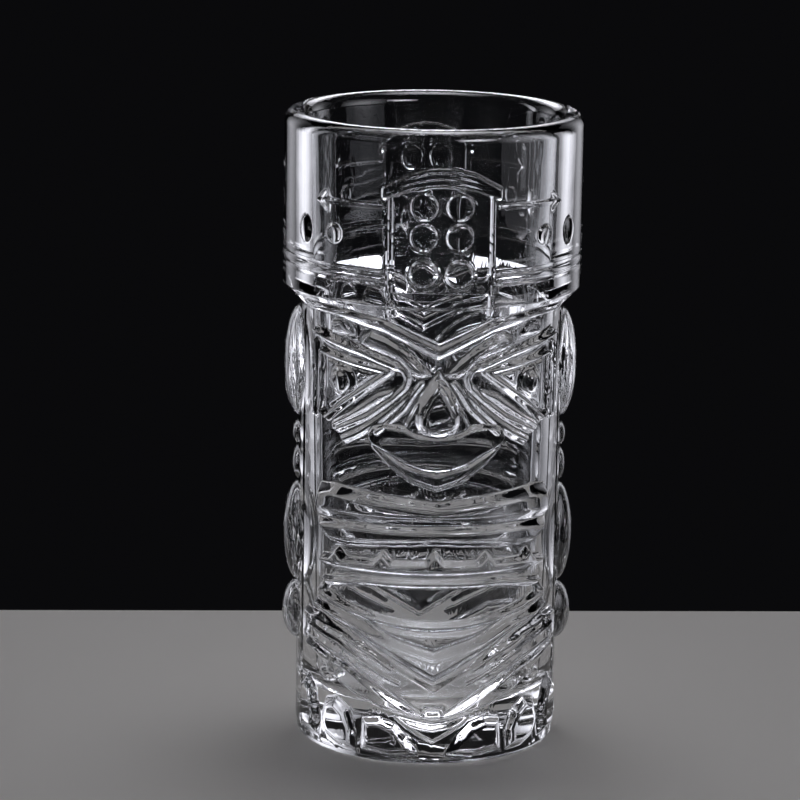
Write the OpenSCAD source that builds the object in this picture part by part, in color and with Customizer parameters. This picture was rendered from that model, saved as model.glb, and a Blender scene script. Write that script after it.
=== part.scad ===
// Pressed-glass tiki tumbler, in millimetres, standing on the XY plane with its axis on Z.
// The front face looks along -Y and the back face along +Y. The tumbler is one pressing:
// each module below is one named region of that glass, and regions meet without overlapping.

/* [Tumbler] */
// Height from the table to the top of the lip
glass_h = 163; // [158:1:180]
// Outer radius of the smooth collar under the lip
collar_r = 38; // [37:0.5:42]
// Outer radius of the wall that carries the face
body_r = 33.3; // [32:0.1:34]
// Height of the shoulder under the collar
shoulder_z = 119; // [117:0.5:121]

/* [Inside] */
// Inner radius just under the lip
mouth_r = 31.3; // [30:0.1:32]
// Inner radius at the floor of the cup
floor_r = 27.5; // [25:0.5:28.5]
// Thickness of the solid glass under the floor
floor_z = 13; // [8:0.5:18]
// Radius between the floor and the inner wall
floor_fillet = 7; // [2:0.5:10]

/* [Relief] */
// How far the brow, lids and eye frames stand out from the wall
brow_rise = 2.4; // [1:0.1:3.5]
// How far the nose stands out from the wall
nose_rise = 3.6; // [1.5:0.1:4.2]
// How far the moustache and lips stand out from the wall
lip_rise = 2.2; // [1:0.1:3.5]
// How far the chin and beard stand out from the wall
beard_rise = 1.5; // [0.8:0.1:2.5]
// How far the beads, studs and forehead panel stand out from the collar
collar_rise = 0.6; // [0.3:0.1:1.2]
// How far the side lobes stand out from the wall
lobe_rise = 4.2; // [2:0.1:4.6]

/* [Hidden] */
$fn = 96;
eps = 0.01;
tall = 2 * glass_h;
shoulder_drop = collar_r - body_r;
collar_foot_z = shoulder_z - shoulder_drop;
heel_z = floor_z + floor_fillet;
lip_width = collar_r - mouth_r;
lip_r = lip_width / 2;
lip_z = glass_h - lip_r;
foot_round = 1.6;
groove_depth = 0.45;
groove_width = 1.0;
outline_r = body_r + lip_rise;
lobe_half_angle = 16;
lobe_half_w = body_r * sin(lobe_half_angle);
lobe_roundness = 1.1;
panel_r = collar_r + collar_rise;
bead_r = 3.4;
bead_x = 4.4;
bead_rows = [127.8, 136.8, 144.4];
stud_z = 136;
collar_lines = [125, 127.5, 144];

// A point of an outline: its angle from the middle of the face, and its height, on a wall of radius r
function at(angle, z, r = outline_r) = [r * sin(angle), z];
function pts(list, r = outline_r) = [for (p = list) at(p[0], p[1], r)];

// An outline given for one half, closed by its own mirror image
function both_halves(half, r = outline_r) = concat(
    pts(half, r),
    [for (i = [len(half) - 1:-1:0]) if (half[i][0] != 0) at(-half[i][0], half[i][1], r)]
);

// Inner radius of the cup at height z
function cup_r(z) = floor_r + (mouth_r - floor_r) * (z - floor_z) / (lip_z - floor_z);

module glass() {
    color([0.82, 0.86, 0.88, 0.55]) children();
}

module facing(side) {
    rotate([0, 0, side == "back" ? 180 : 0]) children();
}

// The smooth tumbler without its hollow, which every raised region stands on
module envelope() {
    rotate_extrude() polygon([
        [0, -eps], [body_r, -eps], [body_r, collar_foot_z], [collar_r, shoulder_z],
        [collar_r, glass_h], [0, glass_h]
    ]);
}

// The hollow of the cup, a straight taper with a rounded floor
module hollow() {
    corner_r = cup_r(heel_z) - floor_fillet;
    rotate_extrude() union() {
        polygon([[0, heel_z], [cup_r(heel_z), heel_z], [mouth_r, lip_z], [mouth_r, tall], [0, tall]]);
        translate([0, floor_z]) square([corner_r, floor_fillet + eps]);
        intersection() {
            translate([corner_r, heel_z]) circle(r = floor_fillet);
            translate([0, floor_z]) square([floor_r + floor_fillet, floor_fillet + eps]);
        }
    }
}

// A ring of the envelope between two heights, with the hollow taken out
module ring(z_low, z_high) {
    difference() {
        intersection() {
            envelope();
            translate([0, 0, z_low]) cylinder(r = collar_r + 1, h = z_high - z_low);
        }
        hollow();
    }
}

// A raised region: an outline pressed straight out of the front, up to radius r
module raised(side, r) {
    glass() facing(side) difference() {
        intersection() {
            rotate([90, 0, 0]) linear_extrude(height = 2 * collar_r) children();
            cylinder(r = r, h = glass_h);
        }
        envelope();
    }
}

module pair() {
    children();
    mirror([1, 0]) children();
}

module groove(r, z) {
    translate([0, 0, z - groove_width / 2]) difference() {
        cylinder(r = r + 1, h = groove_width);
        translate([0, 0, -1]) cylinder(r = r - groove_depth, h = groove_width + 2);
    }
}

/* The smooth tumbler */

module foot() {
    glass() rotate_extrude() union() {
        square([body_r - foot_round, floor_z]);
        translate([0, foot_round]) square([body_r, floor_z - foot_round]);
        intersection() {
            translate([body_r - foot_round, foot_round]) circle(r = foot_round);
            square([body_r, foot_round + eps]);
        }
    }
}

module heel() {
    glass() ring(floor_z, heel_z);
}

module wall() {
    glass() ring(heel_z, collar_foot_z);
}

module collar() {
    glass() difference() {
        ring(collar_foot_z, lip_z);
        for (z = collar_lines) groove(collar_r, z);
    }
}

module lip() {
    glass() rotate_extrude() intersection() {
        translate([mouth_r + lip_r, lip_z]) circle(r = lip_r);
        translate([mouth_r, lip_z]) square([lip_width, lip_r]);
    }
}

/* The forehead, on the collar */

module forehead_panel(side) {
    raised(side, panel_r) polygon(both_halves([
        [0, 109.8], [20.6, 115.6], [20.6, 146.6], [10, 148.6], [0, 149.6]
    ], panel_r));
}

module forehead_arch(side) {
    raised(side, panel_r + collar_rise) polygon(both_halves([
        [0, 150.2], [10, 149.2], [20.3, 147.2], [21.5, 148.2], [10, 152.4], [0, 154]
    ], panel_r));
}

module forehead_beads(side) {
    glass() facing(side) difference() {
        intersection() {
            for (x = [-bead_x, bead_x], z = bead_rows)
                translate([x, 0, z]) rotate([90, 0, 0]) cylinder(r = bead_r, h = 2 * collar_r);
            cylinder(r = panel_r + collar_rise, h = glass_h);
        }
        cylinder(r = panel_r, h = glass_h);
    }
}

module collar_studs(side) {
    raised(side, panel_r) pair() {
        translate(at(43.5, stud_z, collar_r)) circle(d = 5);
        translate(at(59.5, stud_z, collar_r)) circle(d = 4);
    }
}

/* The face, on the wall */

module brow(side) {
    raised(side, body_r + brow_rise) polygon(both_halves([
        [0, 109.2], [20.6, 115], [41, 117], [57, 117.3], [56, 115], [48, 114.6], [25.5, 112], [11, 108.8], [0, 105]
    ]));
}

module eyelids(side) {
    raised(side, body_r + brow_rise) pair()
        polygon(pts([[58, 110], [18, 105.6], [17.4, 103.9], [57, 107.4]]));
}

module eye_frames(side) {
    raised(side, body_r + brow_rise) pair() difference() {
        polygon(pts([[57, 106.4], [19, 103.2], [15, 101.2], [19, 99.4], [54, 86.4], [57, 87.4]]));
        polygon(pts([[54, 103.6], [23, 101.4], [53.6, 90]]));
    }
}

module pupils(side) {
    raised(side, body_r + brow_rise) pair()
        translate(at(43.5, 98.6)) circle(r = 4.1);
}

module cheek_bars(side) {
    raised(side, body_r + lip_rise) pair() {
        polygon(pts([[16.5, 98.9], [47, 86.8], [43.5, 85.6], [15.4, 96.8]]));
        polygon(pts([[12, 99.9], [13.8, 95.9], [40, 84.9], [36.5, 83.9], [12.3, 94.2], [6.4, 99.6]]));
    }
}

module nose(side) {
    raised(side, body_r + nose_rise) polygon(both_halves([
        [0, 101.4], [6, 97.2], [10, 92.4], [13, 88.6], [8, 86.9], [0, 86.4]
    ]));
}

module moustache(side) {
    raised(side, body_r + lip_rise) polygon(both_halves([
        [0, 86], [8, 86.5], [13.4, 88.2], [21.6, 88.2], [27.4, 86.8], [29, 84.8], [26.6, 83.4],
        [21.3, 82], [13, 79], [0, 77.2]
    ]));
}

module moustache_hem(side) {
    raised(side, body_r + beard_rise) polygon(both_halves([
        [0, 76.6], [13, 78.4], [21.3, 81.4], [27.6, 83.4], [28.8, 82.2], [21.2, 77.8], [11, 74], [0, 71.8]
    ]));
}

module upper_lip(side) {
    raised(side, body_r + lip_rise) polygon(both_halves([
        [0, 68.8], [16, 69.8], [32.5, 70.4], [56, 70.8], [59, 66], [58, 61.9], [33, 62.6], [0, 62.9]
    ]));
}

module lower_lip(side) {
    raised(side, body_r + beard_rise) polygon(both_halves([
        [0, 62.3], [33, 62], [58, 61.3], [56, 57.6], [50, 56], [40, 56], [20, 57], [0, 57.8]
    ]));
}

module teeth(side) {
    raised(side, body_r + lip_rise) polygon(both_halves([
        [0, 56.2], [4, 53], [18.6, 53], [22.5, 55.6], [26.4, 53], [41, 52.8], [45, 55], [49, 52.6],
        [54, 52], [54, 49.6], [30, 49.8], [0, 50]
    ]));
}

module chin(side) {
    raised(side, body_r + lip_rise) polygon(both_halves([
        [0, 46.5], [30, 45.6], [52, 42.6], [40, 40.2], [26, 38.4], [12, 37.2], [0, 36.8]
    ]));
}

module beard(side) {
    raised(side, body_r + beard_rise) {
        polygon(both_halves([
            [0, 30.1], [15, 32.7], [40, 37.5], [64, 38.4], [67, 34.6], [38, 31], [17, 25.6], [0, 22]
        ]));
        polygon(both_halves([
            [0, 11.9], [20.5, 17.3], [41, 23.3], [67, 26.2], [67, 20], [34, 12], [17, 10.6], [0, 6]
        ]));
    }
}

/* The side lobes, which the two faces share */

// A lobe of the given height round one side, bulging in height and clipped to a round outline
module lobe(side, z_low, z_high, rise) {
    half_h = (z_high - z_low) / 2;
    bulge_r = (half_h * half_h + rise * rise) / (2 * rise);
    glass() rotate([0, 0, side == "left" ? 180 : 0]) translate([0, 0, z_low + half_h]) intersection() {
        rotate_extrude() intersection() {
            translate([body_r + rise - bulge_r, 0]) circle(r = bulge_r);
            translate([body_r, -half_h - 1]) square([rise + 1, 2 * half_h + 2]);
        }
        rotate([90, 0, 90]) linear_extrude(height = 2 * collar_r) intersection() {
            circle(r = half_h * lobe_roundness);
            square([2 * lobe_half_w, 3 * half_h], center = true);
        }
    }
}

module ear(side) { lobe(side, 84, 112.5, lobe_rise); }
module side_beads(side) {
    lobe(side, 75.9, 82.5, lobe_rise * 0.45);
    lobe(side, 66.7, 75.7, lobe_rise * 0.45);
}
module side_scroll(side) { lobe(side, 40.2, 66.5, lobe_rise * 0.95); }
module side_knob(side) { lobe(side, 24.5, 40, lobe_rise * 0.95); }

foot();
heel();
wall();
collar();
lip();
forehead_panel("front");  // front_forehead_panel
forehead_arch("front");  // front_forehead_arch
forehead_beads("front");  // front_forehead_beads
collar_studs("front");  // front_collar_studs
brow("front");  // front_brow
eyelids("front");  // front_eyelids
eye_frames("front");  // front_eye_frames
pupils("front");  // front_pupils
cheek_bars("front");  // front_cheek_bars
nose("front");  // front_nose
moustache("front");  // front_moustache
moustache_hem("front");  // front_moustache_hem
upper_lip("front");  // front_upper_lip
lower_lip("front");  // front_lower_lip
teeth("front");  // front_teeth
chin("front");  // front_chin
beard("front");  // front_beard
forehead_panel("back");  // back_forehead_panel
forehead_arch("back");  // back_forehead_arch
forehead_beads("back");  // back_forehead_beads
collar_studs("back");  // back_collar_studs
brow("back");  // back_brow
eyelids("back");  // back_eyelids
eye_frames("back");  // back_eye_frames
pupils("back");  // back_pupils
cheek_bars("back");  // back_cheek_bars
nose("back");  // back_nose
moustache("back");  // back_moustache
moustache_hem("back");  // back_moustache_hem
upper_lip("back");  // back_upper_lip
lower_lip("back");  // back_lower_lip
teeth("back");  // back_teeth
chin("back");  // back_chin
beard("back");  // back_beard
ear("left");  // left_ear
side_beads("left");  // left_side_beads
side_scroll("left");  // left_side_scroll
side_knob("left");  // left_side_knob
ear("right");  // right_ear
side_beads("right");  // right_side_beads
side_scroll("right");  // right_side_scroll
side_knob("right");  // right_side_knob
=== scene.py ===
"""Finishes a pressed-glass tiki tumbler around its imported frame, and sets it on a pale table.

The tumbler is one closed skin of glass. A lathe-turned blank is spun first, and each press
operator then pushes one group of the face's features out of its outer wall or into it.
"""

import math

import bmesh
import bpy
import numpy as np
from bpy.props import FloatProperty, FloatVectorProperty, IntProperty, PointerProperty
from mathutils import Matrix, Vector
from mathutils.bvhtree import BVHTree


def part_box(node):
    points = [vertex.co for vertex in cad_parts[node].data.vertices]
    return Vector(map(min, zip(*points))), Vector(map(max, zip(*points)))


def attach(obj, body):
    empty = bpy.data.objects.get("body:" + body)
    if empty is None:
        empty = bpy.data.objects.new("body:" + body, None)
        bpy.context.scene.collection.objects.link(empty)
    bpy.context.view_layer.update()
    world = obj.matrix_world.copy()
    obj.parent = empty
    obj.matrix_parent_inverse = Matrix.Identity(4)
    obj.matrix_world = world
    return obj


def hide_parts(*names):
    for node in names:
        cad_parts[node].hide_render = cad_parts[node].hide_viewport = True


bl_info = {
    "name": "Tiki Tumbler",
    "version": (1, 0, 0),
    "blender": (4, 5, 0),
    "location": "3D View > Sidebar > Tumbler",
    "description": "Presses a clear glass tiki tumbler and sets it on a table",
    "category": "Object",
}

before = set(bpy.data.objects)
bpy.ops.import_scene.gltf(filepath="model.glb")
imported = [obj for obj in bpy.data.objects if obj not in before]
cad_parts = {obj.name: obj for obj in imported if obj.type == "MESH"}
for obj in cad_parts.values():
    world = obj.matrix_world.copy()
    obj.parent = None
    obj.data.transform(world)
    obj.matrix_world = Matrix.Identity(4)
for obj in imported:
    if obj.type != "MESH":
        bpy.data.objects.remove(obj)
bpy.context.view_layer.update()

MM = 0.001
GLASS = "tumbler_glass"
foot_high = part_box("foot")[1]
wall_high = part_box("wall")[1]
collar_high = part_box("collar")[1]
lip_low, lip_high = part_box("lip")

WEDGES = 12
LIP_STEPS = 24
HEEL_STEPS = 10
FOOT_STEPS = 6
SAME_POINT = 1e-6
TRIANGLES = 195000
WIDE_FACE = 0.0011
INSIDE_STEP = 0.0005

BODY_MM = wall_high.x / MM
COLLAR_MM = collar_high.x / MM
OUTSIDE_MM = 31.6
FAR = 1e9
BEAD_ROWS = (127.8, 136.8, 144.4)
BEAD_TURN = 6.7
BEAD_R = 3.5

COOL_WHITE = (0.92, 0.92, 1.0)
DARK_ROOM = (0.003, 0.003, 0.0035, 1)
TABLE_THICK = 0.02
LENS_MM = 172.85
SENSOR_MM = 36
CAMERA_AZIMUTH = math.radians(-3.5)
CAMERA_YAW = -0.0079
CAMERA_PITCH = 0.2222
CAMERA_ROLL = 0.0163
LAMP_AIM = Vector((0, 0, 0.08))
# name, width and height, radiance, azimuth from the front face, height and distance
SOFTBOXES = (
    ("side_right", (0.56, 0.6), 2.1, 71, 0.30, 0.56),
    ("side_left", (0.12, 0.6), 4.5, -112, 0.30, 0.60),
    ("back_right", (0.36, 0.7), 1.05, 139, 0.15, 0.62),
    ("back_left", (0.36, 0.7), 1.15, -139, 0.15, 0.62),
    ("back_high", (0.50, 0.26), 6.0, 180, 0.44, 0.5),
    ("front_high", (0.30, 0.20), 12.0, 30, 0.42, 0.52),
)
OVERHEAD = ("overhead", (0.5, 0.5), 5.4, 170, 0.85, 0.15)


# ---------------------------------------------------------------- sizes and colours


class BlankSizes(bpy.types.PropertyGroup):
    """Sizes of the smooth tumbler before its face is pressed"""

    height: FloatProperty(
        name="Height", description="From the table to the lip", default=lip_high.z, unit="LENGTH"
    )
    collar_r: FloatProperty(
        name="Collar radius", description="Outside of the collar", default=collar_high.x, unit="LENGTH"
    )
    body_r: FloatProperty(
        name="Wall radius", description="Outside of the face wall", default=wall_high.x, unit="LENGTH"
    )
    shoulder_z: FloatProperty(
        name="Shoulder", description="Lower edge of the collar", default=0.119, unit="LENGTH"
    )
    neck_z: FloatProperty(
        name="Neck", description="Where the shoulder meets the wall", default=wall_high.z, unit="LENGTH"
    )
    mouth_r: FloatProperty(
        name="Mouth radius", description="Inside under the lip", default=0.0313, unit="LENGTH"
    )
    floor_r: FloatProperty(
        name="Floor radius", description="Inside at the floor", default=0.0275, unit="LENGTH"
    )
    floor_z: FloatProperty(
        name="Floor height", description="Solid glass under the cup", default=foot_high.z, unit="LENGTH"
    )
    heel_r: FloatProperty(
        name="Heel radius", description="Between floor and wall", default=0.007, unit="LENGTH"
    )
    foot_r: FloatProperty(
        name="Foot rounding", description="Edge of the base", default=0.0016, unit="LENGTH"
    )
    columns: IntProperty(
        name="Columns", description="Steps round the blank", default=720, min=96, max=1440
    )
    row: FloatProperty(
        name="Row height", description="Steps up the face wall", default=0.00032, unit="LENGTH"
    )


class GlassLook(bpy.types.PropertyGroup):
    """Colour and finish of the glass"""

    tint: FloatVectorProperty(
        name="Tint", description="Colour of the glass", default=(0.985, 0.992, 1.0), subtype="COLOR"
    )
    ior: FloatProperty(name="IOR", description="Refraction of soda-lime glass", default=1.52)
    ripple_scale: FloatProperty(name="Ripples", description="How close the ripples lie", default=90)
    ripple_strength: FloatProperty(
        name="Ripple strength", description="How clearly they show", default=0.12, subtype="FACTOR"
    )
    ripple_height: FloatProperty(
        name="Ripple height", description="Depth of the ripples", default=0.0004, unit="LENGTH"
    )
    haze: FloatProperty(
        name="Haze", description="Roughness where the polish is least", default=0.03, subtype="FACTOR"
    )


class StageSizes(bpy.types.PropertyGroup):
    """Sizes and colour of the stage"""

    camera_distance: FloatProperty(
        name="Distance", description="Camera to the tumbler's axis", default=0.963, unit="LENGTH"
    )
    camera_height: FloatProperty(
        name="Height", description="Camera above the table", default=0.305, unit="LENGTH"
    )
    table_width: FloatProperty(
        name="Table width", description="From side to side", default=0.36, unit="LENGTH"
    )
    table_depth: FloatProperty(
        name="Table depth", description="From front to back", default=0.24, unit="LENGTH"
    )
    table_back: FloatProperty(
        name="Table edge", description="Far edge behind the tumbler", default=0.11, unit="LENGTH"
    )
    table_colour: FloatVectorProperty(
        name="Table", description="Colour of the table", default=(0.73, 0.71, 0.66), subtype="COLOR"
    )


# ---------------------------------------------------------------- shaping tools


def arc(centre, radius, start, end, steps):
    """Points of an arc in the profile plane, its angles in degrees."""
    return [
        (
            centre[0] + radius * math.cos(math.radians(start + (end - start) * i / steps)),
            centre[1] + radius * math.sin(math.radians(start + (end - start) * i / steps)),
        )
        for i in range(steps + 1)
    ]


def climb(start, end, step):
    """Points of a straight run between two profile points, without its ends."""
    count = max(1, round(math.dist(start, end) / step))
    return [
        tuple(a + (b - a) * i / count for a, b in zip(start, end, strict=True))
        for i in range(1, count)
    ]


def skin(obj):
    """The skin's points as arrays: places, radius in mm, degrees from the nearer face, height in mm."""
    co = np.empty(len(obj.data.vertices) * 3)
    obj.data.vertices.foreach_get("co", co)
    co = co.reshape(-1, 3)
    radius = np.hypot(co[:, 0], co[:, 1]) / MM
    turn = np.degrees(np.arctan2(np.abs(co[:, 0]), np.abs(co[:, 1])))
    return co, radius, turn, co[:, 2] / MM


class Press:
    """Collects how far each point of the outer wall moves, and presses the blank at the end."""

    def __init__(self, obj, radius):
        self.obj = obj
        self.co, self.radius, self.turn, self.z = skin(obj)
        self.outer = (self.radius > OUTSIDE_MM) & (self.z < lip_low.z / MM - 0.5)
        self.rise = np.zeros(len(self.co))
        self.across = math.radians(1) * radius

    def area(self, points, margin):
        """The points near an outline, and their places on the unrolled wall in mm."""
        low_a = min(p[0] for p in points) - margin / self.across
        high_a = max(p[0] for p in points) + margin / self.across
        low_z = min(p[1] for p in points) - margin
        high_z = max(p[1] for p in points) + margin
        near = np.flatnonzero(
            self.outer
            & (self.turn >= low_a)
            & (self.turn <= high_a)
            & (self.z >= low_z)
            & (self.z <= high_z)
        )
        return near, self.turn[near] * self.across, self.z[near]

    def path_distance(self, points, margin):
        """Distance of each nearby point from a path, in mm."""
        near, u, v = self.area(points, margin)
        distance = np.full(len(near), FAR)
        for (a0, z0), (a1, z1) in zip(points, points[1:], strict=False):
            ends = (a0 * self.across, z0, a1 * self.across, z1)
            distance = np.minimum(distance, segment_distance(u, v, *ends))
        return near, distance

    def depth(self, points):
        """How far each nearby point lies inside an outline, in mm, below 0 outside it."""
        near, u, v = self.area(points, 1.0)
        distance = np.full(len(near), FAR)
        within = np.zeros(len(near), bool)
        corners = [(a * self.across, z) for a, z in points]
        for (x0, y0), (x1, y1) in zip(corners, corners[1:] + corners[:1], strict=True):
            distance = np.minimum(distance, segment_distance(u, v, x0, y0, x1, y1))
            crosses = (y0 > v) != (y1 > v)
            if y0 != y1:
                within ^= crosses & (u < (x1 - x0) * (v - y0) / (y1 - y0) + x0)
        return near, np.where(within, distance, -distance)

    def lift(self, near, rise):
        """Raises points to a height over the blank, unless something already stands higher."""
        self.rise[near] = np.maximum(self.rise[near], rise)

    def pillow(self, points, height, edge):
        """Raises an outline with rounded sides, edge mm wide, onto a flat top."""
        near, depth = self.depth(points)
        self.lift(near, height * rounded(depth / edge))

    def fill(self, points, low, high, edge):
        """Brings an outline out to a radius that grows from low to high over its height."""
        near, depth = self.depth(points)
        bottom, top = min(p[1] for p in points), max(p[1] for p in points)
        share = np.clip((self.z[near] - bottom) / (top - bottom) * 3, 0, 1)
        short = low + (high - low) * share - self.radius[near]
        self.lift(near, short * rounded(depth / edge))

    def roll(self, points, height, half_width):
        """Raises a round roll along a path, merging with what already stands there."""
        near, distance = self.path_distance(points, half_width)
        self.lift(near, height * rounded(1 - distance / half_width))

    def bead(self, points, height, half_width):
        """Adds a fine bead along a path on top of the relief, or a groove if height is below 0."""
        near, distance = self.path_distance(points, half_width)
        self.rise[near] += height * np.cos(0.5 * math.pi * np.clip(distance / half_width, 0, 1)) ** 2

    def dome(self, centre, half_wide, half_tall, height, power=2.0):
        """Adds a round or oval lens with a crisp edge; a higher power makes it squarer."""
        reach = half_wide / self.across
        box = [(centre[0] - reach, centre[1] - half_tall), (centre[0] + reach, centre[1] + half_tall)]
        near, u, v = self.area(box, 0.1)
        wide = np.abs((u - centre[0] * self.across) / half_wide)
        spread = wide**power + np.abs((v - centre[1]) / half_tall) ** power
        self.rise[near] += height * np.sqrt(np.clip(1 - spread, 0, 1))

    def apply(self):
        moved = self.rise * MM / np.maximum(self.radius * MM, 1e-6)
        self.co[:, :2] *= (1 + moved)[:, None]
        self.obj.data.vertices.foreach_set("co", self.co.ravel())
        self.obj.data.update()


def rounded(share):
    """A quarter-round rise from 0 to 1."""
    return np.sin(0.5 * math.pi * np.clip(share, 0, 1))


def segment_distance(u, v, x0, y0, x1, y1):
    """Distance of each point (u, v) from one straight segment."""
    dx, dy = x1 - x0, y1 - y0
    along = np.clip(((u - x0) * dx + (v - y0) * dy) / (dx * dx + dy * dy), 0, 1)
    return np.hypot(u - x0 - along * dx, v - y0 - along * dy)


def mirrored(half):
    """An outline drawn for one half of the face, closed by its own mirror image."""
    return half + [(-a, z) for a, z in reversed(half) if a > 0]


def circle(steps=32):
    """Angles once round a circle."""
    return [math.tau * i / steps for i in range(steps + 1)]


def tumbler():
    return bpy.data.objects[GLASS]


# ---------------------------------------------------------------- the blank


class TUMBLER_OT_blank(bpy.types.Operator):
    """Spin the smooth tumbler: foot, wall, shoulder, collar, lip, cup and floor"""

    bl_idname = "tumbler.blank"
    bl_label = "Spin the blank"

    def execute(self, context):
        size = context.scene.tumbler_blank
        lip_round = (size.collar_r - size.mouth_r) / 2
        lip_centre = (size.mouth_r + lip_round, size.height - lip_round)
        taper = (size.mouth_r - size.floor_r) / (lip_centre[1] - size.floor_z)
        heel_top = size.floor_z + size.heel_r
        heel_out = size.floor_r + taper * size.heel_r
        foot_in = size.body_r - size.foot_r
        outer = [(0.0, 0.0), (foot_in * 0.5, 0.0)]
        outer += arc((foot_in, size.foot_r), size.foot_r, -90, 0, FOOT_STEPS)
        outer += climb((size.body_r, size.foot_r), (size.body_r, size.neck_z), size.row)
        outer += [(size.body_r, size.neck_z)]
        outer += climb(outer[-1], (size.collar_r, size.shoulder_z), size.row)
        outer += [(size.collar_r, size.shoulder_z)]
        outer += climb(outer[-1], (size.collar_r, lip_centre[1]), size.row)
        outer += arc(lip_centre, lip_round, 0, 180, LIP_STEPS)
        outer += climb((size.mouth_r, lip_centre[1]), (heel_out, heel_top), 8 * size.row)
        outer += arc((heel_out - size.heel_r, heel_top), size.heel_r, 0, -90, HEEL_STEPS)
        outer += [(foot_in * 0.35, size.floor_z), (0.0, size.floor_z)]
        bm = bmesh.new()
        verts = [bm.verts.new((x, 0.0, z)) for x, z in outer]
        edges = [bm.edges.new(pair) for pair in zip(verts, verts[1:], strict=False)]
        turn = {"axis": (0, 0, 1), "cent": (0, 0, 0)}
        wedge = math.tau / WEDGES
        steps = size.columns // WEDGES
        bmesh.ops.spin(bm, geom=verts + edges, angle=wedge, steps=steps, **turn)
        whole = bm.verts[:] + bm.edges[:] + bm.faces[:]
        bmesh.ops.spin(
            bm, geom=whole, angle=math.tau - wedge, steps=WEDGES - 1, use_duplicate=True, **turn
        )
        bmesh.ops.remove_doubles(bm, verts=bm.verts, dist=SAME_POINT)
        bmesh.ops.recalc_face_normals(bm, faces=bm.faces)
        mesh = bpy.data.meshes.new(GLASS)
        bm.to_mesh(mesh)
        bm.free()
        mesh.shade_smooth()
        context.scene.collection.objects.link(bpy.data.objects.new(GLASS, mesh))
        return {"FINISHED"}


# ---------------------------------------------------------------- the press


class TUMBLER_OT_collar(bpy.types.Operator):
    """Press the collar's lines, studs, forehead panel, arch and beads"""

    bl_idname = "tumbler.collar"
    bl_label = "Press the collar"

    def execute(self, context):
        press = Press(tumbler(), COLLAR_MM)
        panel = mirrored([(0, 109), (21, 115), (21, 147), (12, 149.2), (0, 150.2)])
        press.fill(panel, low=BODY_MM + 2.6, high=COLLAR_MM + 0.35, edge=0.8)
        border = [(19, 117), (19, 146.6)]
        press.bead(border, height=0.5, half_width=0.9)
        for crown, tip in ((150.2, 146.6), (151.8, 147.4), (153.4, 148.2)):
            ridge = [(-1, crown), (5, crown - 0.3), (12, (2 * crown + tip) / 3), (21.6, tip)]
            press.roll(ridge, height=1.15, half_width=0.95)
        for z in BEAD_ROWS:
            press.dome((BEAD_TURN, z), half_wide=BEAD_R, half_tall=BEAD_R, height=0.9)
            ring = [(BEAD_TURN + 5.6 * math.cos(t), z + 3.7 * math.sin(t)) for t in circle()]
            press.bead(ring, height=-0.3, half_width=0.5)
        press.dome((43.5, 136), half_wide=2.5, half_tall=2.5, height=1.0)
        press.dome((59.5, 135.7), half_wide=2.5, half_tall=3.5, height=1.1)
        for z in (125.0, 127.5):
            press.bead([(21.5, z), (91, z)], height=-0.5, half_width=0.7)
        arrow = [[(22, 144), (51, 144)], [(51, 144), (48, 142)], [(51, 144), (48, 146)]]
        for line in arrow:
            press.bead(line, height=0.5, half_width=0.7)
        press.apply()
        return {"FINISHED"}


class TUMBLER_OT_eyes(bpy.types.Operator):
    """Press the brow, the folds under it, lids, eye frames, pupils and cheek bars"""

    bl_idname = "tumbler.eyes"
    bl_label = "Press the eyes"

    def execute(self, context):
        press = Press(tumbler(), BODY_MM + 2)
        brow = [(0, 109.2), (11, 112.5), (21, 115.1), (41, 117.2), (64, 117.4)]
        brow += [(54, 114.9), (40, 113.6), (24, 111.8), (13.7, 109.2), (0, 105.2)]
        press.pillow(mirrored(brow), height=2.7, edge=1.7)
        fold = [(2, 101.2), (9, 105.4), (15, 108.2), (22, 110.4), (29.5, 111.8), (34, 110.2)]
        fold += [(34.6, 108), (30.7, 106.9), (22, 105.6), (16.9, 104.4), (12.6, 101.4), (8, 100.4)]
        press.pillow(fold, height=2.0, edge=2.2)
        almond = [(37.5, 109.9), (39.5, 112), (44, 113.9), (51, 113), (51, 109.6)]
        press.pillow(almond, height=1.3, edge=1.3)
        lid = [(61, 109.2), (51.5, 108.2), (33, 106.3), (18, 103.4)]
        press.roll(lid, height=2.2, half_width=1.35)
        socket = [(18, 103.4), (14.5, 102.4), (12.8, 100.4), (14, 98), (19, 95), (30, 90), (46, 85.4)]
        press.roll(socket, height=1.6, half_width=0.9)
        eye_frame = [(57, 104.6), (20.5, 101.9), (53, 87.9), (57.5, 89), (57, 104.6)]
        press.roll(eye_frame, height=1.7, half_width=0.95)
        press.roll([(62, 106.4), (62, 88)], height=1.5, half_width=1.1)
        press.pillow([(53.6, 103), (26, 101), (52, 90.2)], height=0.7, edge=0.6)
        pupil = (43.4, 98.2)
        press.dome(pupil, half_wide=4.3, half_tall=4.1, height=1.8)
        press.dome(pupil, half_wide=2.2, half_tall=2.5, height=1.0)
        upper_bar = [(18, 97.6), (26, 96.2), (40, 90.2), (50, 87), (50, 84.9), (32.6, 90.6), (19.6, 95.8)]
        press.pillow(upper_bar, height=1.5, edge=1.1)
        lower_bar = [(11.2, 98.2), (17.5, 94.9), (24.5, 91.4), (35, 86.8), (46, 83.4)]
        lower_bar += [(42, 81.8), (34.7, 83.9), (24.4, 87.8), (17.4, 91.6), (11.4, 95.4)]
        press.pillow(lower_bar, height=1.6, edge=1.6)
        strip = [(7, 99.2), (9.8, 97), (14.4, 92.6), (25, 86.6)]
        press.roll(strip, height=1.2, half_width=0.8)
        press.apply()
        return {"FINISHED"}


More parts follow.
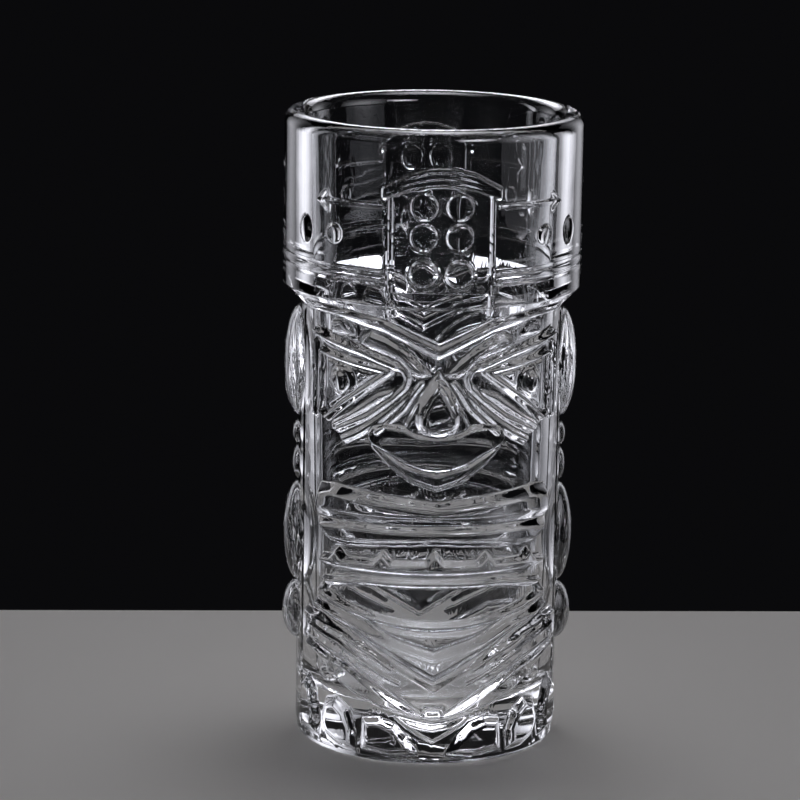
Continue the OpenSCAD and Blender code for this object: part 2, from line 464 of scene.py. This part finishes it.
class TUMBLER_OT_nose(bpy.types.Operator):
    """Press the nose, the moustache and the band under it"""

    bl_idname = "tumbler.nose"
    bl_label = "Press the nose"

    def execute(self, context):
        press = Press(tumbler(), BODY_MM + 2)
        wings = [(0, 102.6), (3.4, 100), (8, 96), (11.6, 91.6), (14.2, 88.4), (12, 86.4), (0, 85.8)]
        press.pillow(mirrored(wings), height=1.3, edge=1.2)
        nose = [(0, 101.8), (2.8, 100.2), (5.6, 98), (8.6, 94.8), (10.4, 91.6)]
        nose += [(10.5, 89), (8.8, 86.8), (5, 85.4), (0, 84.8)]
        press.pillow(mirrored(nose), height=4.1, edge=3.8)
        hem = [(0, 76.6), (13, 78.6), (21.3, 81.6), (28.4, 84)]
        hem += [(29, 82.2), (21.2, 77.8), (11, 73.9), (0, 71.8)]
        press.pillow(mirrored(hem), height=1.4, edge=1.3)
        moustache = [(0, 86), (8, 86.4), (13.4, 88), (21.6, 88.6), (27, 88), (29.6, 86.4), (29.8, 84.6)]
        moustache += [(28, 83), (21.3, 81.3), (13, 78.5), (6, 77.1), (0, 76.7)]
        press.pillow(mirrored(moustache), height=2.4, edge=0.9)
        press.apply()
        return {"FINISHED"}


class TUMBLER_OT_mouth(bpy.types.Operator):
    """Press the lips, the teeth and the chin"""

    bl_idname = "tumbler.mouth"
    bl_label = "Press the mouth"

    def execute(self, context):
        press = Press(tumbler(), BODY_MM + 1.5)
        upper = [(0, 68.9), (16, 69.9), (32.5, 70.6), (48, 71.2), (58, 70.2)]
        upper += [(61, 66), (59, 61.8), (33, 62.5), (0, 62.8)]
        press.pillow(mirrored(upper), height=2.4, edge=3.2)
        lower = [(0, 62.6), (33, 62.3), (60, 61.5), (57, 57.6), (50, 56), (40, 55.8), (20, 57), (0, 57.8)]
        press.pillow(mirrored(lower), height=1.5, edge=2.2)
        teeth = [(0, 56.4), (4, 53.6), (18.5, 53.3), (22.5, 55.8), (26.5, 53.2), (41, 52.9), (45, 55)]
        teeth += [(49, 52.6), (56, 52), (56, 49.6), (30, 49.9), (0, 50)]
        press.pillow(mirrored(teeth), height=1.9, edge=1.1)
        chin_top = [(-1, 47.8), (30, 47.5), (54, 45.2)]
        press.roll(chin_top, height=1.5, half_width=1.1)
        chin_rim = [(-1, 36.4), (12, 36.8), (26, 38), (40, 39.8), (56, 42.4), (52, 44.6)]
        press.roll(chin_rim, height=1.7, half_width=1.2)
        press.apply()
        return {"FINISHED"}


class TUMBLER_OT_beard(bpy.types.Operator):
    """Press the beard's chevrons, its tab and the facets of the foot"""

    bl_idname = "tumbler.beard"
    bl_label = "Press the beard"

    def execute(self, context):
        press = Press(tumbler(), BODY_MM + 1.5)
        first = [(0, 35), (12, 35.4), (24, 36.8), (40, 39.6), (52, 41.2)]
        first += [(52, 40), (33, 38.3), (18, 33.7), (0, 30.4)]
        press.pillow(mirrored(first), height=1.5, edge=1.1)
        second = [(0, 29.6), (18, 32.9), (33, 37.4), (60, 40), (60, 37.7), (38, 34.5), (20.5, 29), (0, 22.2)]
        press.pillow(mirrored(second), height=2.4, edge=2.3)
        third = [(0, 21.2), (20.5, 28), (38, 33.5), (57, 36.4), (68, 36.8), (68, 29), (57, 28.4), (38, 25.4)]
        third += [(25, 21), (4.8, 13.6), (3.8, 15.2), (0, 15.2)]
        press.pillow(mirrored(third), height=1.9, edge=1.4)
        press.roll([(14, 22), (20, 23.6), (42, 30.6), (62, 33.4)], height=2.7, half_width=0.9)
        press.roll([(17, 25.4), (26, 28.8), (40, 32.4)], height=2.4, half_width=0.7)
        fourth = [(0, 14.2), (2.9, 14.2), (4, 12.9), (25, 20), (38, 24.4), (57, 27.4), (68, 28), (68, 26.4)]
        fourth += [(59, 25.2), (37, 17.8), (18, 13.9), (0, 11.8)]
        press.pillow(mirrored(fourth), height=1.5, edge=1.2)
        point = [(0, 10.8), (6, 11.4), (17, 13), (9, 9), (0, 6)]
        press.pillow(mirrored(point), height=1.9, edge=1.3)
        for lobe in (
            [(6, 3), (10.4, 7.6), (16, 11), (23, 12.4), (31.4, 11.6), (31.8, 3), (18, 2)],
            [(34.6, 2.4), (34.2, 8), (38, 13), (45, 15.6), (52, 14.4), (55, 9), (52, 4.6), (44, 2.6)],
            [(57.4, 3.4), (56.4, 9), (60, 16), (66, 19), (73, 16), (74, 8), (70, 3.6)],
        ):
            press.pillow(lobe, height=1.7, edge=2.6)
        press.dome((50.5, 20.9), half_wide=3.4, half_tall=1.9, height=1.3)
        press.apply()
        return {"FINISHED"}


class TUMBLER_OT_sides(bpy.types.Operator):
    """Press the ears, beads and knobs down both sides, on a low raised strip"""

    bl_idname = "tumbler.sides"
    bl_label = "Press the sides"

    def execute(self, context):
        press = Press(tumbler(), BODY_MM + 2)
        for low, high, half_wide, rise, power in (
            (84, 112.5, 9.2, 4.2, 2.2),
            (76, 82.4, 4.6, 1.9, 2.0),
            (66.7, 75.8, 5.2, 1.9, 2.0),
            (40.2, 66.4, 9.2, 4.1, 2.0),
            (24.6, 40, 7.8, 4.1, 2.0),
        ):
            press.dome((90, (low + high) / 2), half_wide, (high - low) / 2, rise, power)
        side_strip = [(74.5, 3), (74.5, 113.6), (106, 113.6), (106, 3)]
        press.pillow(side_strip, height=0.35, edge=1.3)
        press.apply()
        return {"FINISHED"}


# ---------------------------------------------------------------- finish and stage


def glass_material(look):
    """Fire-polished clear glass, with the faint ripple that a press leaves."""
    material = bpy.data.materials.new("pressed_glass")
    material.use_nodes = True
    nodes, links = material.node_tree.nodes, material.node_tree.links
    shader = nodes["Principled BSDF"]
    shader.inputs["Base Color"].default_value = (*look.tint, 1)
    shader.inputs["Transmission Weight"].default_value = 1.0
    shader.inputs["IOR"].default_value = look.ior
    coords = nodes.new("ShaderNodeTexCoord")
    ripple = nodes.new("ShaderNodeTexNoise")
    ripple.inputs["Scale"].default_value = look.ripple_scale
    ripple.inputs["Detail"].default_value = 1.5
    bump = nodes.new("ShaderNodeBump")
    bump.inputs["Strength"].default_value = look.ripple_strength
    bump.inputs["Distance"].default_value = look.ripple_height
    polish = nodes.new("ShaderNodeMapRange")
    polish.inputs["To Min"].default_value = 0.0
    polish.inputs["To Max"].default_value = look.haze
    links.new(coords.outputs["Object"], ripple.inputs["Vector"])
    links.new(ripple.outputs["Fac"], bump.inputs["Height"])
    links.new(ripple.outputs["Fac"], polish.inputs["Value"])
    links.new(polish.outputs["Result"], shader.inputs["Roughness"])
    links.new(bump.outputs["Normal"], shader.inputs["Normal"])
    return material


def baked(obj):
    """The object's mesh with its modifiers applied, which are then taken off it."""
    graph = bpy.context.evaluated_depsgraph_get()
    mesh = bpy.data.meshes.new_from_object(
        obj.evaluated_get(graph), preserve_all_data_layers=True, depsgraph=graph
    )
    obj.modifiers.clear()
    return mesh


def flatten_gloss(fine, thin):
    """Lets each wide face of the thinned skin shade like the plain wall that it lies in.

    A corner that stands on the edge of a relief has a tilted normal, which would smear over a
    wide face, so the corners of wide faces take the fine skin's normal from just inside the face.
    """
    tree = BVHTree.FromPolygons([v.co for v in fine.vertices], [p.vertices[:] for p in fine.polygons])
    normals = [corner.vector.copy() for corner in thin.corner_normals]
    for face in thin.polygons:
        for loop, vertex in zip(face.loop_indices, face.vertices, strict=True):
            place = thin.vertices[vertex].co
            inward = face.center - place
            if inward.length > WIDE_FACE:
                inward.length = INSIDE_STEP
                normals[loop] = tree.find_nearest(place + inward)[1]
    thin.normals_split_custom_set(normals)


class TUMBLER_OT_finish(bpy.types.Operator):
    """Thin the pressed skin where it is plain, give it its glass, and tie it to the frame"""

    bl_idname = "tumbler.finish"
    bl_label = "Finish the glass"

    def execute(self, context):
        obj = tumbler()
        polish = obj.modifiers.new("polish", "SMOOTH")
        polish.factor = 0.5
        polish.iterations = 2
        obj.data = baked(obj)
        thin = bpy.data.objects.new(GLASS + "_thin", obj.data)
        context.scene.collection.objects.link(thin)
        decimate = thin.modifiers.new("thin", "DECIMATE")
        decimate.ratio = min(1.0, TRIANGLES / (2 * len(obj.data.polygons)))
        gloss = thin.modifiers.new("gloss", "DATA_TRANSFER")
        gloss.object = obj
        gloss.use_loop_data = True
        gloss.data_types_loops = {"CUSTOM_NORMAL"}
        gloss.loop_mapping = "POLYINTERP_NEAREST"
        fine = obj.data
        obj.data = baked(thin)
        bpy.data.objects.remove(thin)
        flatten_gloss(fine, obj.data)
        obj.data.materials.append(glass_material(context.scene.tumbler_look))
        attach(obj, "root")
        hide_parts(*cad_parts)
        return {"FINISHED"}


def softbox(name, size, radiance, azimuth, height, distance):
    """A soft lamp with a hot centre that looks at the tumbler, placed round it by its azimuth."""
    lamp = bpy.data.lights.new(name, "AREA")
    lamp.shape = "RECTANGLE"
    lamp.size, lamp.size_y = size
    lamp.energy = radiance * math.pi * size[0] * size[1]
    lamp.color = COOL_WHITE
    lamp.use_nodes = True
    nodes, links = lamp.node_tree.nodes, lamp.node_tree.links
    place = nodes.new("ShaderNodeNewGeometry")
    from_centre = nodes.new("ShaderNodeVectorMath")
    from_centre.operation = "DISTANCE"
    from_centre.inputs[1].default_value = (0.5, 0.5, 0)
    glow = nodes.new("ShaderNodeMapRange")
    glow.interpolation_type = "SMOOTHSTEP"
    glow.inputs["From Max"].default_value = 0.55
    glow.inputs["To Min"].default_value = 1.6
    glow.inputs["To Max"].default_value = 0.2
    links.new(place.outputs["Parametric"], from_centre.inputs[0])
    links.new(from_centre.outputs["Value"], glow.inputs["Value"])
    links.new(glow.outputs["Result"], nodes["Emission"].inputs["Strength"])
    obj = bpy.data.objects.new(name, lamp)
    turn = math.radians(azimuth)
    obj.location = (distance * math.sin(turn), -distance * math.cos(turn), height)
    aim = Vector(obj.location) - LAMP_AIM
    obj.rotation_euler = aim.to_track_quat("Z", "Y").to_euler()
    bpy.context.scene.collection.objects.link(obj)
    return obj


class TUMBLER_OT_stage(bpy.types.Operator):
    """Lay the table, hang the softboxes and set up the camera"""

    bl_idname = "tumbler.stage"
    bl_label = "Set the stage"

    def execute(self, context):
        stage = context.scene.tumbler_stage
        self.table(context, stage)
        self.lights(context)
        self.camera(context, stage)
        return {"FINISHED"}

    def table(self, context, stage):
        bm = bmesh.new()
        bmesh.ops.create_cube(bm, size=1.0)
        size = (stage.table_width, stage.table_depth, TABLE_THICK)
        middle = (0, stage.table_back - stage.table_depth / 2, -TABLE_THICK / 2)
        bmesh.ops.scale(bm, vec=size, verts=bm.verts)
        bmesh.ops.translate(bm, vec=middle, verts=bm.verts)
        mesh = bpy.data.meshes.new("table")
        bm.to_mesh(mesh)
        bm.free()
        table = bpy.data.objects.new("table", mesh)
        context.scene.collection.objects.link(table)
        material = bpy.data.materials.new("table_top")
        material.use_nodes = True
        shader = material.node_tree.nodes["Principled BSDF"]
        shader.inputs["Base Color"].default_value = (*stage.table_colour, 1)
        shader.inputs["Roughness"].default_value = 0.5
        mesh.materials.append(material)

    def lights(self, context):
        glass_only = bpy.data.collections.new("glass_only")
        glass_only.objects.link(tumbler())
        for placing in SOFTBOXES:
            softbox(*placing).light_linking.receiver_collection = glass_only
        softbox(*OVERHEAD)
        context.scene.view_settings.view_transform = "Standard"
        world = bpy.data.worlds.new("studio")
        context.scene.world = world
        world.use_nodes = True
        world.node_tree.nodes["Background"].inputs["Color"].default_value = DARK_ROOM
        world.node_tree.nodes["Background"].inputs["Strength"].default_value = 1.0

    def camera(self, context, stage):
        lens = bpy.data.cameras.new("camera")
        lens.lens = LENS_MM
        lens.sensor_width = SENSOR_MM
        lens.clip_start = 0.01
        camera = bpy.data.objects.new("camera", lens)
        stand = Matrix.Translation((0, -stage.camera_distance, stage.camera_height))
        place = Matrix.Rotation(CAMERA_AZIMUTH, 4, "Z") @ stand
        turn = Matrix.Rotation(-CAMERA_YAW, 4, "Z")
        tilt = Matrix.Rotation(math.pi / 2 - CAMERA_PITCH, 4, "X")
        aim = turn @ tilt @ Matrix.Rotation(CAMERA_ROLL, 4, "Z")
        camera.matrix_world = place @ aim
        context.scene.collection.objects.link(camera)
        context.scene.camera = camera


class TUMBLER_PT_panel(bpy.types.Panel):
    """Sidebar panel that lists the sizes and the steps"""

    bl_label = "Tiki Tumbler"
    bl_idname = "TUMBLER_PT_panel"
    bl_space_type = "VIEW_3D"
    bl_region_type = "UI"
    bl_category = "Tumbler"

    def draw(self, context):
        for group in ("tumbler_blank", "tumbler_look", "tumbler_stage"):
            owner = getattr(context.scene, group)
            for name in owner.__annotations__:
                self.layout.prop(owner, name)
        for step in STEPS:
            self.layout.operator(step.bl_idname)


STEPS = (
    TUMBLER_OT_blank,
    TUMBLER_OT_collar,
    TUMBLER_OT_eyes,
    TUMBLER_OT_nose,
    TUMBLER_OT_mouth,
    TUMBLER_OT_beard,
    TUMBLER_OT_sides,
    TUMBLER_OT_finish,
    TUMBLER_OT_stage,
)
GROUPS = {"tumbler_blank": BlankSizes, "tumbler_look": GlassLook, "tumbler_stage": StageSizes}


def register():
    for kind in (*GROUPS.values(), *STEPS, TUMBLER_PT_panel):
        bpy.utils.register_class(kind)
    for name, group in GROUPS.items():
        setattr(bpy.types.Scene, name, PointerProperty(type=group))


def unregister():
    for name in GROUPS:
        delattr(bpy.types.Scene, name)
    for kind in reversed((*GROUPS.values(), *STEPS, TUMBLER_PT_panel)):
        bpy.utils.unregister_class(kind)


def main():
    register()
    for step in STEPS:
        group, name = step.bl_idname.split(".")
        getattr(getattr(bpy.ops, group), name)()


if __name__ == "__main__":
    main()
